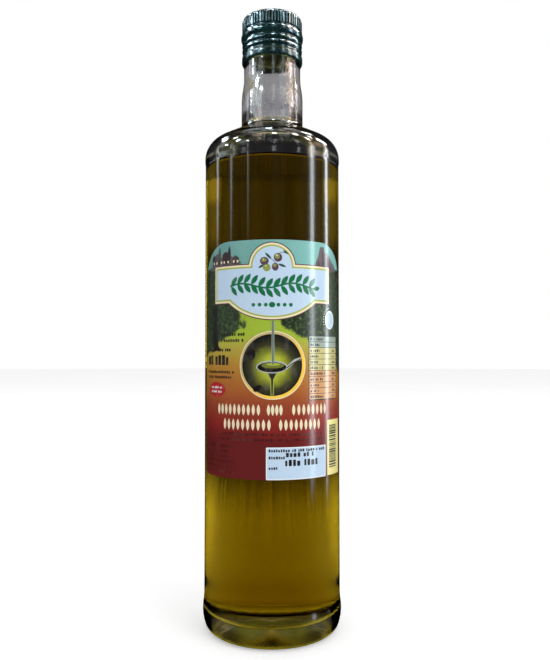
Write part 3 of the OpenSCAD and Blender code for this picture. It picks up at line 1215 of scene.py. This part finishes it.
def makeFloors(room):
    pale = material("paleFloor", floorLook, Roughness=0.9, Specular_IOR_Level=0.0,
                    Emission_Color=(1, 1, 1, 1), Emission_Strength=room["floorGlow"])
    makeFloor("floor", -0.0001, pale, "transmission")
    # an emissive sheet just under the floor, seen only through the glass, paints the floor's light and
    # shade there
    under = material("glowSheetUnderGlass", glowUnderGlassLook, Base_Color=(0, 0, 0, 1), Specular_IOR_Level=0.0,
                     Emission_Strength=1.0)
    makeFloor("glowSheetUnderGlass", -0.0003, under, "camera", "diffuse", "shadow")


def makeCollar(room):  # painted shade: a black card round the shoulder, met only by light through the glass, that darkens the shoulder and headspace there
    points, faces = lathe(room["shadeCollar"], 96)
    card = material("blackCard", cardLook, Roughness=1.0, Specular_IOR_Level=0.0)
    shadeCollar = addMesh("shadeCollar", newMesh("shadeCollar", points, faces), card)
    hide(shadeCollar, "camera", "diffuse", "glossy", "shadow")


def softBox(name, place, size, power):
    lamp = bpy.data.lights.new(name, "AREA")
    lamp.shape = "SQUARE"
    lamp.size = size
    lamp.energy = power
    light = bpy.data.objects.new(name, lamp)
    light.location = place
    aim = Vector(studio["aim"]) - Vector(place)
    light.rotation_euler = aim.to_track_quat("-Z", "Y").to_euler()
    hide(light, "glossy", "transmission", "camera")
    bpy.context.scene.collection.objects.link(light)


def shownThroughGlass(look, room, around, climb, streak):
    away = look.size(around)                       # 0 on the camera's side, 180 beyond the bottle
    beyond = look.ease(away, *room["farSide"])
    level = look.share(climb, *room["beyondSpan"])
    behind = look.scaled(look.ramp(level, room["beyond"]), beyond * (0.5 + streak))
    patch = 0
    for low, high, soft, strength in room["flanks"]:
        patch = look.between(climb, low, high, soft) * strength + patch
    flanks = look.between(away, *room["flankSide"], 5) * patch
    return beyond, look.sumOf(behind, look.scaled(room["flankColour"], flanks))


def shiningOnIt(look, room, around, climb, streak, mirrored, near):
    total = near * look.ease(streak, 0.45, 0.75) * look.between(climb, 6, 40, 8) * 0.16 + room["dark"]
    for azimuth, width, low, high, strength in room["strips"]:
        soft = 2 if low > 15 else 5
        total = total + look.bell(around, azimuth, width) * look.between(climb, low, high, soft) * strength
    for azimuth, elevation, width, height, strength in room["lamps"]:
        spot = look.bell(around, azimuth, width) * look.bell(climb, elevation, height)
        total = total + spot ** 3 * mirrored * strength
    ceiling = look.ease(streak, 0.3, 0.6) * look.between(climb, *room["ceilingSpan"], 3)
    total = (total + ceiling * mirrored * room["ceiling"]) * look.ease(climb, *room["floorEdge"])
    paint = look.blend(look.ease(total, 0.2, 1.6), room["white"], room["coolWhite"])
    warm = look.bell(around, *room["warmSide"]) * look.ease(climb, *room["warmFrom"])
    return look.scaled(look.blend(warm, paint, room["warmWhite"]), total)


def makeWorld(room):
    world = bpy.data.worlds.new("studio")
    bpy.context.scene.world = world
    look = Look(world)
    x, y, z = look.split(look.add("ShaderNodeTexCoord", {}, {}, 0))
    degrees = 180 / math.pi
    around = look.turn(x, y * -1) * degrees
    climb = look.maths("ARCSINE", z) * degrees
    streak = look.streaks(around * 0.09, 4.0, 0.6)
    path = look.add("ShaderNodeLightPath", {}, {})
    mirrored = path.output("Is Glossy Ray") * (1 - path.output("Is Transmission Ray"))
    beyond, behind = shownThroughGlass(look, room, around, climb, streak)
    shine = shiningOnIt(look, room, around, climb, streak, mirrored, 1 - beyond)
    colour = look.sumOf(look.scaled(behind, 1 - mirrored), shine)
    ambient = room["ambient"]
    colour = look.blend(path.output("Is Diffuse Ray"), colour, (ambient, ambient, ambient, 1))
    colour = look.blend(path, colour, (1, 1, 1, 1))          # the camera itself sees white
    surface = look.add("ShaderNodeBackground", {}, {"Color": colour, "Strength": 1.0})
    look.add("ShaderNodeOutputWorld", {}, {"Surface": surface})
    world.cycles.sampling_method = "NONE"


makeFloors(studio)
makeCollar(studio)
makeWorld(studio)
for box in studio["softBoxes"]:
    softBox(*box)
bpy.context.scene.view_settings.view_transform = "Standard"
print("stage set")
